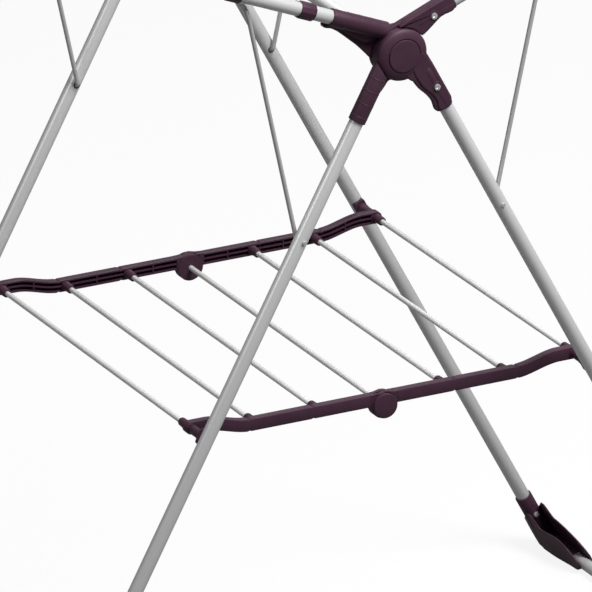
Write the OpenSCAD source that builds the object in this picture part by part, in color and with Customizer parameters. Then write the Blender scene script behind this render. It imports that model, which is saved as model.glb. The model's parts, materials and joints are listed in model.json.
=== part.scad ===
// Folding winged clothes airer: two leg frames and two wings turn on one
// cross axle, wire bails hold the wings up and a folding shelf sets the spread.
// X runs across the wings, Y along the axle, Z up. The origin is on the floor
// under the middle of the axle. Sizes are in millimetres.

/* [Frame] */
// Height of the axle above the floor
hub_z = 871; // [800:1:1000]
// Distance between the near and the far leg tubes, centre to centre
frame_w = 544; // [480:1:620]
// Angle between each leg and the vertical when open
leg_angle = 28.5; // [24:0.5:32]
// Distance of a leg tube's centre line from the axle
leg_off = 15; // [14:0.5:18]
// Outer diameter of the frame tubes
tube_d = 16; // [14:0.5:18]
// Wall thickness of the frame tubes
tube_wall = 1.2; // [0.8:0.1:2]

/* [Hub] */
// Outer diameter of the axle tube
axle_d = 14; // [10:0.5:16]
// Radius of the stacked knuckles
knuckle_r = 29; // [27:0.5:32]
// Thickness of one knuckle
knuckle_t = 7; // [5:0.1:8]
// Gap between moving faces
play = 0.3; // [0.2:0.05:0.6]
// Radial clearance of a turning pin
pin_play = 0.08; // [0.03:0.01:0.1]
// Wall of an arm's socket around its tube
socket_wall = 1.8; // [1.2:0.1:2.2]
// Reach of a leg arm, measured along the leg from the axle
leg_arm_len = 86; // [75:1:110]
// Reach of a flat wing arm, measured along the wing from the axle
wing_arm_len = 80; // [72:1:100]
// Reach of a round wing sleeve, measured along the wing from the axle
wing_sleeve_len = 97; // [80:1:110]
// How far a leg arm's web reaches past the axle line beside its knuckle
leg_web = 7; // [0:0.5:7]
// How far a wing arm's web stays above the axle line beside its knuckle
wing_web = 3.5; // [3:0.5:8]
// Radius of the round cap on the end of the axle
cap_r = 19; // [14:0.5:22]
// Diameter of the pan screw heads
screw_head_d = 7.6; // [6:0.1:9]
// Distance of a leg arm's screw from the axle
leg_screw_s = 56; // [50:1:64]
// Distance of a wing arm's screw from the axle
wing_screw_s = 51; // [46:1:60]

/* [Wings] */
// Rise of each open wing above the horizontal
wing_angle = 22; // [15:0.5:25]
// Distance of a wing tube's centre line from the axle
wing_off = 19.5; // [18:0.5:24]
// How far the wing tubes stand inside the leg tubes
wing_inset = 8; // [6:0.5:12]
// Length of a wing from the axle to its end bar
wing_len = 800; // [780:1:900]
// Number of drying rods on each wing
wing_rods = 7; // [4:1:7]
// Distance from the axle to the first rod of a wing
first_rod = 129; // [125:1:150]
// Distance from one wing rod to the next
wing_pitch = 95; // [80:1:100]
// Bend radius of the wing frame's corners
corner_r = 45; // [30:1:60]
// Diameter of the drying rods
rod_d = 6; // [5:0.1:7]
// Length of a rod collar along its tube
collar_len = 19; // [16:1:26]
// Wall of a rod collar around its tube
collar_wall = 1.9; // [1.5:0.1:3]

/* [Bails] */
// Diameter of the bail wire
bail_d = 5; // [4:0.1:6]
// Distance of the bail's pivot hole from the axle, along the leg
bail_s = 229; // [200:1:260]
// Distance of the bail's seat from the axle, along the wing
seat_s = 200; // [190:1:205]
// Bend radius of the bail's corners
bail_bend = 14; // [8:1:20]

/* [Shelf] */
// Distance of the shelf's end pivots from the axle, along the leg
shelf_s = 469; // [430:1:520]
// Distance of each shelf rail's middle from the leg tubes beside it
shelf_gap = 40.5; // [30:0.5:60]
// Width of a shelf rail
rail_w = 10; // [9:0.5:14]
// Height of a shelf rail
rail_h = 14; // [13:0.5:18]
// Distance from one shelf rod to the next
shelf_pitch = 78.5; // [70:0.5:80]
// Rise of the rails at their outer ends
rail_rise = 10; // [4:0.5:12]
// Radius of the round hinge knuckles of the shelf
hinge_r = 15.5; // [13:0.5:18]
// Length of the noses that hold the shelf rods
nose_len = 14.5; // [8:0.5:20]
// Length and width of the pad that seats a shelf bracket on its leg
pad_l = 19; // [16:0.5:30]
pad_w = 14; // [10:0.5:15]

/* [Feet] */
// Outer diameter of the floor bars
bar_d = 14; // [12:0.5:16]
// Thickness of the foot under the floor bar
sole_t = 3; // [2:0.1:5]
// Length of a foot from the leg's centre line to its nose
foot_len = 97; // [80:1:130]
// Width of a foot at its heel
foot_w = 25; // [24:0.5:32]
// Width of a foot at its nose
nose_w = 19; // [19:0.5:24]
// Wall thickness of the foot's sides
foot_wall = 2.2; // [1.5:0.1:2.2]
// Height of the foot's sides over the floor bar's axis
side_h = 35; // [26:1:40]
// Height of the foot's ears beside the leg, over the floor bar's axis
ear_h = 53; // [45:1:60]
// Height of the leg's sleeve over the floor bar's axis
sleeve_h = 65; // [58:1:80]
// How far the floor bar reaches into its boss in the foot
bar_lap = 34; // [20:1:40]

/* [Hidden] */
$fn = 48;
tube_r = tube_d / 2;
leg_y = frame_w / 2;
wing_y = leg_y - wing_inset;
socket_r = tube_r + socket_wall;
socket_s0 = knuckle_r + 4;
axle_r = axle_d / 2;
rod_r = rod_d / 2;
bail_r = bail_d / 2;
eps = 0.01;
// Depth of the flat face of a screwed arm over its tube's centre line
face_u = tube_r + 1;
// Depth of each knuckle's inner face, measured outwards from the leg plane
layer_front = face_u - wing_inset + play;
layer_mid = layer_front - knuckle_t - play;
layer_wing = layer_mid - knuckle_t - play;
layer_back = layer_wing - knuckle_t - play;
boss_u = layer_front + knuckle_t + 0.5;
cap_seat = 1.5;
axle_end = leg_y + boss_u - cap_seat;

pivot_r = rod_r;
bail_y = leg_y - tube_r - play - bail_r;
seat_drop = tube_r + bail_r + 1.5;
pivot = leg_point(bail_s);
seat = wing_point(seat_s, wing_off - seat_drop);
bail_len = norm(seat - pivot);
bail_lean = atan2(seat[0] - pivot[0], seat[1] - pivot[1]);

shelf_end = leg_point(shelf_s);
rail_y = leg_y - shelf_gap;
rod_z = shelf_end[1] - rail_rise;
hinge_z = rod_z - rail_h / 2;
ring_h = 1.5;
ring_face = rail_y + rail_w / 2 + ring_h;
pad_t = 2.5;
peg_r = 2.5;
pivot_end = leg_y - tube_r - pad_t;
boss_r = 6;
rise_from = 2 * shelf_pitch + 8;
rise_to = shelf_end[0] - 18;
flange = 2.2;
rib_t = 1.4;

bar_r = bar_d / 2;
bar_z = bar_r + sole_t;
leg_len = (hub_z + leg_off * sin(leg_angle) - bar_z) / cos(leg_angle);
foot_x = leg_point(leg_len)[0];
heel_r = foot_w / 2 - 1;
bar_boss_y = foot_len - 23;
bar_y = leg_y - bar_boss_y + bar_lap;
tube_end = 20;
heel_lift = 1.2;

// ---- Points and curves ----

// A point on the right leg's centre line, s along it from the axle: [x, z]
function leg_point(s) = [
  leg_off * cos(leg_angle) + s * sin(leg_angle),
  hub_z + leg_off * sin(leg_angle) - s * cos(leg_angle)
];
// A point of the right wing, s along it and h above the axle: [x, z]
function wing_point(s, h) = [
  s * cos(wing_angle) - h * sin(wing_angle),
  hub_z + s * sin(wing_angle) + h * cos(wing_angle)
];
function ease(t) = t <= 0 ? 0 : t >= 1 ? 1 : t * t * (3 - 2 * t);
// Height of the rail's middle line over the rod line, at x from the shelf's middle
function rail_line(x) = rail_rise * ease((abs(x) - rise_from) / (rise_to - rise_from));

// ---- Placing ----

// z runs up the right leg, x away from it on its outer side
module on_leg() translate([0, 0, hub_z]) rotate([0, -leg_angle, 0]) children();
// x runs along the right wing, z away from it on its upper side
module on_wing() translate([0, 0, hub_z]) rotate([0, -wing_angle, 0]) children();
// The left side is the right side turned half round
module left() rotate([0, 0, 180]) children();
// Extrudes a 2D outline (x, z) along Y, from u0 to u1 outwards, on the near side
module slab(u0, u1) translate([0, -u0, 0]) rotate([90, 0, 0]) linear_extrude(u1 - u0) children();
// A cylinder along Y from y0 to y1
module y_rod(r, y0, y1) translate([0, y1, 0]) rotate([90, 0, 0]) cylinder(r = r, h = y1 - y0);
// A cylinder down Z from s0 to s1
module s_rod(r, s0, s1) translate([0, 0, -s1]) cylinder(r = r, h = s1 - s0);
// A cylinder along X from x0 to x1
module x_rod(r, x0, x1) translate([x0, 0, 0]) rotate([0, 90, 0]) cylinder(r = r, h = x1 - x0);

// ---- Legs, floor bars and feet ----

module leg_tube(side) color("silver") on_leg() translate([leg_off, side * leg_y, 0]) difference() {
  s_rod(tube_r, socket_s0 + 4, leg_len - tube_end);
  s_rod(tube_r - tube_wall, socket_s0, leg_len);
  translate([0, 0, -bail_s]) y_rod(bail_r + pin_play, -tube_d, tube_d);
  translate([0, 0, -shelf_s]) mirror([0, side > 0 ? 1 : 0, 0]) y_rod(peg_r, 0, tube_d);
}

module floor_bar() color("silver") translate([foot_x, 0, bar_z]) difference() {
  y_rod(bar_r, -bar_y, bar_y);
  y_rod(bar_r - tube_wall, -bar_y - 1, bar_y + 1);
}

// Height of the foot's sides over the bar's axis, y inwards from the leg
function foot_edge(y) = let (t = max(0, (y - 0.6 * foot_len) / (0.4 * foot_len)))
  side_h * sqrt(max(0, 1 - t * t)) + (ear_h - side_h) * ease((y + 10) / 30) * (1 - ease((y - 22) / 10));
// Half width of the foot at y
function foot_half(y) = y < 0 ? sqrt(max(0, heel_r * heel_r - y * y))
  : heel_r + ease(y / 12) - (heel_r + 1 - nose_w / 2) * ease((y - 30) / 50);
// The foot seen from the side: y inwards from the leg, z up the leg; nose and heel are arcs
foot_side = concat(
  [[0.75 * foot_len, -2 * bar_d], [-heel_r, -2 * bar_d], [-heel_r, 10]],
  [for (i = [0 : 40]) let (y = -8 + (foot_len + 8) * i / 40) [y, max(8, foot_edge(y))]],
  [for (i = [0 : 8]) let (q = i * 90 / 8)
    [0.78 * foot_len + 0.22 * foot_len * cos(q), 8 - 2 * bar_d * sin(q)]]
);
// The foot seen along the leg, its sides drawn in by inset
function foot_plan(inset, y0, y1) = concat(
  [for (i = [0 : 24]) let (y = y0 + (y1 - y0) * i / 24) [max(0, foot_half(y) - inset), y]],
  [for (i = [24 : -1 : 0]) let (y = y0 + (y1 - y0) * i / 24) [-max(0, foot_half(y) - inset), y]]
);

// One foot, its leg along z and its floor bar along y: a sleeve between two sides with an open trough
module foot_body() difference() {
  union() {
    difference() {
      intersection() {
        rotate([90, 0, 90]) translate([0, 0, -foot_w]) linear_extrude(2 * foot_w) polygon(foot_side);
        translate([0, 0, -3 * bar_d]) linear_extrude(150) polygon(foot_plan(0, -heel_r, foot_len));
      }
      linear_extrude(100) polygon(foot_plan(foot_wall, 0, foot_len + 1));
    }
    translate([0, 0, tube_end - 6]) cylinder(r = socket_r, h = sleeve_h - tube_end + 6);
    intersection() {
      y_rod(bar_r + 2, 12, bar_boss_y);
      translate([0, 0, -3 * bar_d]) linear_extrude(150) polygon(foot_plan(0.5, -heel_r, foot_len));
    }
  }
  translate([0, 0, tube_end]) cylinder(r = tube_r, h = sleeve_h);
  y_rod(bar_r, bar_boss_y - bar_lap, foot_len + 1);
  under_sole(-bar_z, 2 * foot_len);
  under_sole(heel_lift - bar_z, 10);
}
// Everything below a level plane at height z, up to y1 inwards from the leg
module under_sole(z, y1) rotate([0, leg_angle, 0])
  translate([-foot_len, y1 - 3 * foot_len, z - foot_len]) cube([2 * foot_len, 3 * foot_len, foot_len]);
module at_foot() on_leg() translate([leg_off, -leg_y, -leg_len]) children();
module foot_near() color("#3b2a38") at_foot() foot_body();
module foot_far() mirror([0, 1, 0]) foot_near();
module foot_screws() color("white") for (side = [0, 1]) mirror([0, side, 0]) at_foot()
  translate([0, socket_r - 0.2, 0.6 * sleeve_h]) mirror([0, 1, 0]) pan_screw(6.5);

// ---- Hub ----

// Inner edge of an arm: its web runs in from root beside the knuckle and flares again at the end
function arm_edge(s, off, reach, root) =
  root + (off - socket_r - root) * ease((s - knuckle_r) / (reach - 14 - knuckle_r)) - 2 * ease((s - reach + 14) / 8);
function arm_outline(off, reach, root) = concat(
  [[off + socket_r, 0], [off + socket_r, reach - 3], [off + socket_r - 3, reach]],
  [for (i = [0 : 6]) let (q = i * 15, x = arm_edge(reach - 4, off, reach, root))
    [x + 4 - 4 * sin(q), reach - 4 + 4 * cos(q)]],
  [for (i = [16 : -1 : 0]) let (s = i * (reach - 5) / 16) [arm_edge(s, off, reach, root), s]]
);

// An arm with its tube along -Z at x = off. Its knuckle and its web lie in their own layer
module arm(off, reach, root, inset, layer, flat) difference() {
  union() {
    slab(layer, layer + knuckle_t) circle(r = knuckle_r, $fn = 96);
    slab(layer, layer + knuckle_t) mirror([0, 1]) polygon(arm_outline(off, reach, root));
    translate([off, inset, 0]) s_rod(socket_r, socket_s0, reach);
    if (flat) flat_face(off, reach, root, inset, layer);
    else for (i = [1 : 4]) translate([off, inset, 0])
      s_rod(socket_r + 0.4, reach - 13 * i, reach - 13 * i + 1.2);
  }
  translate([off, inset, 0]) s_rod(tube_r, socket_s0 + 4, reach + 1);
  y_rod(axle_r + pin_play, -60, 60);
}
// The flat outer face of a screwed arm, one broad plate over tube and web
module flat_face(off, reach, root, inset, layer)
  slab(min(layer + knuckle_t, face_u - inset) - 1, face_u - inset) mirror([0, 1]) intersection() {
    polygon(arm_outline(off, reach, root));
    translate([-knuckle_r, socket_s0]) square([3 * knuckle_r, reach]);
  }
// The outermost leg knuckle carries the round boss that holds the cap
module front_boss() difference() {
  slab(layer_front, boss_u) circle(r = knuckle_r - 2, $fn = 96);
  slab(boss_u - cap_seat, boss_u + 1) circle(r = cap_r, $fn = 96);
  y_rod(axle_r + pin_play, -60, 60);
}

module leg_arm_front() on_leg() translate([0, -leg_y, 0]) {
  difference() {
    arm(leg_off, leg_arm_len, -leg_web, 0, layer_front, true);
    slab(boss_u - cap_seat, 2 * boss_u) circle(r = cap_r, $fn = 96);
  }
  front_boss();
}
module leg_arm_rear() on_leg() translate([0, leg_y, 0]) mirror([0, 1, 0])
  arm(leg_off, leg_arm_len, 0, 0, layer_mid, false);
// A wing arm lies along the wing: its tube is above the axle
module wing_arm_front() on_wing() translate([0, -leg_y, 0]) rotate([0, -90, 0])
  arm(wing_off, wing_arm_len, wing_web, wing_inset, layer_wing, true);
module wing_arm_rear() on_wing() translate([0, leg_y, 0]) mirror([0, 1, 0]) rotate([0, -90, 0])
  arm(wing_off, wing_sleeve_len, 0, wing_inset, layer_back, false);

module hub_axle() color("gainsboro") translate([0, 0, hub_z]) difference() {
  y_rod(axle_r, -axle_end, axle_end);
  y_rod(axle_r - tube_wall, -axle_end - 60, axle_end + 60);
}
module hub_cap() translate([0, 0, hub_z]) {
  y_rod(cap_r - play, -leg_y - boss_u - 0.7, -axle_end - play);
  y_rod(axle_r - tube_wall, -axle_end - 1, -axle_end + 24);
}

// A pan-head screw standing out along -Y from a face at y = 0
module pan_screw(head_d) {
  difference() {
    union() {
      y_rod(head_d / 2, -1.4, 0);
      y_rod(head_d / 2 - 1, -2.2, 0);
    }
    y_rod(1.2, -3, -1);
  }
  y_rod(1.9, -0.5, socket_wall + 3);
}
module leg_screws() color("white") on_leg() {
  translate([leg_off, -leg_y - face_u, -leg_screw_s]) pan_screw(screw_head_d);
  translate([leg_off, leg_y - socket_r + 0.2, -leg_screw_s]) pan_screw(screw_head_d);
}
module wing_screws() color("white") on_wing() {
  translate([wing_screw_s, -leg_y + wing_inset - face_u, wing_off]) pan_screw(screw_head_d);
  translate([wing_screw_s, leg_y - wing_inset - socket_r + 0.2, wing_off]) pan_screw(screw_head_d);
}

// ---- Wings ----

module wing_frame() color("silver") on_wing() translate([0, 0, wing_off]) difference() {
  wing_path(tube_r, 0);
  wing_path(tube_r - tube_wall, 1);
}
// The bent tube's path, filled to radius r and run past its open ends by more
module wing_path(r, more) {
  for (side = [-1, 1]) {
    translate([0, side * wing_y, 0]) x_rod(r, socket_s0 + 4 - more, wing_len - corner_r);
    translate([wing_len - corner_r, side * (wing_y - corner_r), 0]) mirror([0, side < 0 ? 1 : 0, 0])
      rotate_extrude(angle = 90) translate([corner_r, 0]) circle(r = r);
  }
  translate([wing_len, 0, 0]) y_rod(r, -wing_y + corner_r, wing_y - corner_r);
}
module wing_rod_set() color("white") on_wing() for (i = [0 : wing_rods - 1])
  translate([first_rod + i * wing_pitch, 0, wing_off]) y_rod(rod_r, -wing_y + tube_r + 1, wing_y - tube_r - 1);
// Each rod ends in a collar that wraps its tube and holds the rod in a nose
module wing_collars() color("#3b2a38") on_wing()
  for (i = [0 : wing_rods - 1], side = [-1, 1])
    translate([first_rod + i * wing_pitch, side * wing_y, wing_off]) mirror([0, side > 0 ? 0 : 1, 0]) collar();
module collar() difference() {
  union() {
    x_rod(tube_r + collar_wall, -collar_len / 2, collar_len / 2);
    y_rod(rod_r + 2.2, -tube_r - 16, 0);
  }
  x_rod(tube_r, -collar_len, collar_len);
  y_rod(rod_r, -tube_r - 20, -tube_r - 1);
}
// A seat on the second rod, with a hollow underneath for the bail's crossbar
seat_rod = first_rod + wing_pitch;
seat_y = wing_y - 40;
seat_w = 14;
module bail_seats() color("#3b2a38") on_wing() for (side = [-1, 1])
  translate([0, side * seat_y + seat_w / 2, wing_off]) rotate([90, 0, 0]) difference() {
    linear_extrude(seat_w) difference() {
      union() {
        translate([seat_rod, 0]) circle(r = rod_r + 4);
        translate([seat_s - bail_r - 4, -seat_drop - 2])
          square([seat_rod - seat_s + bail_r + 4, seat_drop + rod_r + 4]);
      }
      translate([seat_s, -seat_drop]) circle(r = bail_r + play);
      translate([seat_s - bail_r - play, -2 * seat_drop]) square([2 * bail_d + seat_rod, seat_drop]);
      translate([seat_s, -seat_drop - bail_r - play]) square([seat_rod, bail_d]);
    }
    translate([seat_rod, 0, -1]) cylinder(r = rod_r, h = seat_w + 2);
  }

// ---- Bails ----

module bail() color("silver") translate([pivot[0], 0, pivot[1]]) rotate([0, bail_lean, 0]) {
  for (side = [-1, 1]) mirror([0, side < 0 ? 1 : 0, 0]) {
    translate([0, bail_y, bail_r]) cylinder(r = bail_r, h = bail_len - bail_bend - bail_r);
    translate([0, bail_y, 0]) y_rod(bail_r, 0, leg_y + tube_r + 1.5 - bail_y);
    translate([0, bail_y, 0]) cylinder(r = bail_r, h = bail_r + eps);
    translate([0, bail_y, 0]) sphere(r = bail_r);
    translate([0, bail_y - bail_bend, bail_len - bail_bend]) rotate([90, 0, 90])
      rotate_extrude(angle = 90) translate([bail_bend, 0]) circle(r = bail_r);
  }
  translate([0, 0, bail_len]) y_rod(bail_r, -bail_y + bail_bend, bail_y - bail_bend);
}

// ---- Shelf ----

// A band between two heights over the rail's middle line, from x0 to x1
function rail_band(x0, x1, z0, z1, n = 24) = concat(
  [for (i = [0 : n]) let (x = x0 + (x1 - x0) * i / n) [x, rail_line(x) + z0]],
  [for (i = [n : -1 : 0]) let (x = x0 + (x1 - x0) * i / n) [x, rail_line(x) + z1]]
);
// One half rail on the near side, x outwards from the hinge. Its knuckle fills one half of the
// rail's width, from depth k0 to k1, and the other half's knuckle turns in the rest
module half_rail(k0, k1, c0, c1) translate([0, -rail_y, 0]) difference() {
  union() {
    difference() {
      translate([0, 0, rod_z]) slab(-rail_w / 2, rail_w / 2)
        polygon(rail_band(play / 2, shelf_end[0], -rail_h / 2, rail_h / 2));
      translate([0, 0, hinge_z]) slab(c0, c1) circle(r = hinge_r + play, $fn = 72);
      rail_pockets();
      rail_notches();
    }
    translate([0, 0, hinge_z]) slab(k0, k1) circle(r = hinge_r, $fn = 72);
    for (i = [1 : 2]) translate([i * shelf_pitch, 0, rod_z]) rod_nose();
    translate([shelf_end[0], 0, shelf_end[1]]) {
      y_rod(rail_h / 2, -rail_w / 2, rail_w / 2);
      y_rod(rail_h / 2 - 1, -rail_w / 2 - ring_h, 0);
      rod_nose();
    }
  }
  translate([0, 0, hinge_z]) y_rod(rod_r + pin_play, -30, 30);
  for (i = [1 : 2]) translate([i * shelf_pitch, 0, rod_z]) y_rod(rod_r, -rail_w / 2 + flange, 40);
  translate([shelf_end[0], 0, shelf_end[1]]) y_rod(rod_r, -60, 40);
}
module rod_nose() y_rod(rod_r + 2.3, 0, rail_w / 2 + nose_len);
// The rail is an open channel on its inner side, with a middle rib and cross ribs
module rail_pockets() {
  edges = [hinge_r - 4, shelf_pitch, 2 * shelf_pitch, shelf_end[0]];
  for (i = [0 : 2]) {
    mid = (edges[i] + edges[i + 1]) / 2;
    for (x = [[edges[i] + 5, mid - rib_t / 2], [mid + rib_t / 2, edges[i + 1] - 5]],
         z = [[-rail_h / 2 + flange, -rib_t / 2], [rib_t / 2, rail_h / 2 - flange]])
      translate([0, 0, rod_z]) slab(-rail_w / 2 - 1, rail_w / 2 - flange)
        polygon(rail_band(x[0], x[1], z[0], z[1], 10));
  }
}
// A shallow groove runs round the rail's top and bottom beside each rod
module rail_notches() for (i = [1 : 2], z = [-1, 1])
  translate([i * shelf_pitch + 9, 0, rod_z + z * (rail_h / 2 + 1)]) rotate([0, 45, 0])
    cube([3, rail_w + 2, 3], center = true);

module rail_front() half_rail(play / 2, rail_w / 2, -rail_w, play / 2);
module rail_rear() half_rail(-rail_w / 2 - 1, -play / 2, -play / 2, rail_w);
module shelf_rods() color("white") for (i = [1 : 2])
  translate([i * shelf_pitch, 0, rod_z]) y_rod(rod_r, -rail_y - rail_w / 2 + flange, rail_y + rail_w / 2 - flange);
module end_rod(reach) translate([shelf_end[0], 0, shelf_end[1]]) y_rod(rod_r, -reach, reach);
hinge_end = rail_y + rail_w / 2 + 2.5;
module hinge_rod() color("white") translate([0, 0, hinge_z]) y_rod(rod_r, -hinge_end, hinge_end);
module hinge_caps() color("#3b2a38") for (side = [0, 1]) mirror([0, side, 0])
  translate([0, -rail_y - rail_w / 2, hinge_z]) difference() {
    union() {
      y_rod(hinge_r - 1, -3.5, -play);
      y_rod(hinge_r - 2.2, -4.5, -play);
    }
    y_rod(rod_r, -2.5, 1);
  }
// The pad that seats on the leg's inner side, with the boss that carries the shelf's pivot
module shelf_bracket(side) color("#3b2a38") on_leg()
  translate([leg_off, side * leg_y, -shelf_s]) mirror([0, side > 0 ? 0 : 1, 0]) {
    difference() {
      union() {
        translate([-pad_w / 2, -tube_r - pad_t, -pad_l / 2]) cube([pad_w, tube_r / 2 + pad_t, pad_l]);
        y_rod(boss_r, ring_face + play - leg_y, -tube_r);
      }
      s_rod(tube_r, -pad_l, pad_l);
      y_rod(pivot_r + pin_play, -shelf_gap, -tube_r - pad_t);
    }
    y_rod(peg_r, -tube_r - 1, -tube_r + tube_wall + 1);
  }

// ---- The nodes ----

dark = "#3b2a38";

leg_tube(-1);  // right_leg_near
leg_tube(1);  // right_leg_far
floor_bar();  // right_floor_bar
foot_near();  // right_foot_near
foot_far();  // right_foot_far
color(dark) leg_arm_front();  // right_leg_arm_near
color(dark) leg_arm_rear();  // right_leg_arm_far
leg_screws();  // right_leg_screws
foot_screws();  // right_foot_screws
shelf_bracket(-1);  // right_shelf_bracket_near
shelf_bracket(1);  // right_shelf_bracket_far
left() leg_tube(1);  // left_leg_near
left() leg_tube(-1);  // left_leg_far
left() floor_bar();  // left_floor_bar
left() foot_far();  // left_foot_near
left() foot_near();  // left_foot_far
left() color(dark) leg_arm_rear();  // left_leg_arm_near
left() color(dark) leg_arm_front();  // left_leg_arm_far
left() leg_screws();  // left_leg_screws
left() foot_screws();  // left_foot_screws
left() shelf_bracket(1);  // left_shelf_bracket_near
left() shelf_bracket(-1);  // left_shelf_bracket_far
hub_axle();
color(dark) hub_cap();  // hub_cap_near
left() color(dark) hub_cap();  // hub_cap_far
wing_frame();  // right_wing_frame
color(dark) wing_arm_front();  // right_wing_arm_near
color(dark) wing_arm_rear();  // right_wing_arm_far
wing_rod_set();  // right_wing_rods
wing_collars();  // right_wing_collars
wing_screws();  // right_wing_screws
bail_seats();  // right_bail_seats
bail();  // right_bail
left() wing_frame();  // left_wing_frame
left() color(dark) wing_arm_rear();  // left_wing_arm_near
left() color(dark) wing_arm_front();  // left_wing_arm_far
left() wing_rod_set();  // left_wing_rods
left() wing_collars();  // left_wing_collars
left() wing_screws();  // left_wing_screws
left() bail_seats();  // left_bail_seats
left() bail();  // left_bail
mirror([1, 0, 0]) color(dark) rail_rear();  // shelf_rail_left_near
mirror([1, 0, 0]) mirror([0, 1, 0]) color(dark) rail_rear();  // shelf_rail_left_far
left() shelf_rods();  // shelf_rods_left
color("white") left() end_rod(pivot_end - play);  // shelf_pivot_rod_left
color(dark) rail_front();  // shelf_rail_right_near
mirror([0, 1, 0]) color(dark) rail_front();  // shelf_rail_right_far
union() { shelf_rods(); color("white") end_rod(ring_face); }  // shelf_rods_right
hinge_rod();  // shelf_hinge_rod
hinge_caps();  // shelf_hinge_caps
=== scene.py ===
import json

import bmesh
import bpy
import numpy as np
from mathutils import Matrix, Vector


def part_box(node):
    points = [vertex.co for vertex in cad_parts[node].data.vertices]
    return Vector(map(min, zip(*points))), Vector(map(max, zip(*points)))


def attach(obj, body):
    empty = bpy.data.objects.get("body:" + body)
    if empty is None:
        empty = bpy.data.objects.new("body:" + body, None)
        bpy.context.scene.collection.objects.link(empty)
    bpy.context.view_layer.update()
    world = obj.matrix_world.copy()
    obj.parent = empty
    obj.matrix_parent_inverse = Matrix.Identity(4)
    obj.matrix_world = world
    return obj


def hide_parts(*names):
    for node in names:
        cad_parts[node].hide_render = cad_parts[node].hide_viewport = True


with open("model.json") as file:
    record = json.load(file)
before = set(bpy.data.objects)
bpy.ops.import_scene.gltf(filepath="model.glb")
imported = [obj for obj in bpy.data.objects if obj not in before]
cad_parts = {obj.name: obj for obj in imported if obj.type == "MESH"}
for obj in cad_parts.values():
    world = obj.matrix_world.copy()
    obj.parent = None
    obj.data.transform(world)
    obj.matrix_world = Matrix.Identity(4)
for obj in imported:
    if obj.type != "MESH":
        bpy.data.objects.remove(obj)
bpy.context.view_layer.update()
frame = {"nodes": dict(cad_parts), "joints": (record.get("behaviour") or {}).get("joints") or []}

# ---- Where the airer stands ----
# The floor, the backdrop and the lamps of a plain product shot, and the camera
# that looks at the hub, the shelf and one foot from the front left.

CAMERA_TURN = np.radians(-27.71)
CAMERA_RISE = np.radians(21.67)
CAMERA_DISTANCE = 14.0
CAMERA_TARGET = np.array([0.0149, 0.0, 0.4914])
CAMERA_LENS = 767.7

scene = bpy.context.scene
scene.view_settings.view_transform = "Standard"


def look_from(turn, rise):
    """A unit vector towards the viewer; turn 0 looks along +Y and rise is the height above the floor."""
    return np.array([np.sin(turn) * np.cos(rise), -np.cos(turn) * np.cos(rise), np.sin(rise)])


def add_camera():
    """A long lens that looks at CAMERA_TARGET from the front left and above."""
    data = bpy.data.cameras.new("camera")
    data.lens = CAMERA_LENS
    data.sensor_width = 36.0
    data.clip_end = 60.0
    camera = bpy.data.objects.new("camera", data)
    camera.location = CAMERA_TARGET + CAMERA_DISTANCE * look_from(CAMERA_TURN, CAMERA_RISE)
    camera.rotation_euler = (np.pi / 2 - CAMERA_RISE, 0.0, CAMERA_TURN)
    scene.collection.objects.link(camera)
    scene.camera = camera


add_camera()


def add_lamp(name, turn, rise, distance, size, watts):
    """A square soft box that faces the middle of the airer."""
    data = bpy.data.lights.new(name, "AREA")
    data.shape = "SQUARE"
    data.size = size
    data.energy = watts
    lamp = bpy.data.objects.new(name, data)
    lamp.location = np.array([0.0, 0.0, 0.6]) + distance * look_from(np.radians(turn), np.radians(rise))
    lamp.rotation_euler = (np.pi / 2 - np.radians(rise), 0.0, np.radians(turn))
    scene.collection.objects.link(lamp)


add_lamp("key_softbox", turn=30.0, rise=58.0, distance=3.4, size=1.8, watts=165.0)
add_lamp("fill_softbox", turn=-85.0, rise=35.0, distance=4.0, size=1.2, watts=24.0)
add_lamp("rim_softbox", turn=150.0, rise=34.0, distance=4.0, size=2.2, watts=20.0)


class Wire:
    """A socket of a material, so that shader sums are written as Python sums."""

    def __init__(self, tree, socket):
        self.tree = tree
        self.socket = socket

    def maths(self, operation, *values):
        return node(self.tree, "ShaderNodeMath", {"operation": operation}, values)

    def __add__(self, other):
        return self.maths("ADD", self, other)

    def __mul__(self, other):
        return self.maths("MULTIPLY", self, other)

    def __sub__(self, other):
        return self.maths("SUBTRACT", self, other)

    def __rsub__(self, other):
        return self.maths("SUBTRACT", other, self)

    __radd__ = __add__
    __rmul__ = __mul__

    def clamped(self):
        return self.maths("MAXIMUM", self.maths("MINIMUM", self, 1.0), 0.0)


def node(tree, kind, settings=None, values=(), out=0):
    """Adds a node; its settings come first, then values or wires by socket number or name."""
    made = tree.nodes.new(kind)
    for key, value in (settings or {}).items():
        setattr(made, key, value)
    pairs = values.items() if isinstance(values, dict) else enumerate(values)
    for key, value in pairs:
        if isinstance(value, Wire):
            tree.links.new(value.socket, made.inputs[key])
        else:
            made.inputs[key].default_value = value
    return Wire(tree, made.outputs[out])


def new_material(name, **sockets):
    """A Principled material with plain values on its sockets, and its object coordinates as a wire."""
    material = bpy.data.materials.new(name)
    material.use_nodes = True
    tree = material.node_tree
    shader = tree.nodes["Principled BSDF"]
    for key, value in sockets.items():
        shader.inputs[key.replace("_", " ")].default_value = value
    place = node(tree, "ShaderNodeTexCoord", out="Object")
    return material, tree, shader, place


SEEN_IN_GLOSS = 0.12


def light_path(tree):
    """Two wires: 1 for what the camera sees, and SEEN_IN_GLOSS for what gloss and glass see."""
    ray = tree.nodes.new("ShaderNodeLightPath")
    glossy = Wire(tree, ray.outputs["Is Glossy Ray"])
    through = Wire(tree, ray.outputs["Is Transmission Ray"])
    mirrored = glossy.maths("MAXIMUM", glossy, through) * SEEN_IN_GLOSS
    return Wire(tree, ray.outputs["Is Camera Ray"]), mirrored


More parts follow.
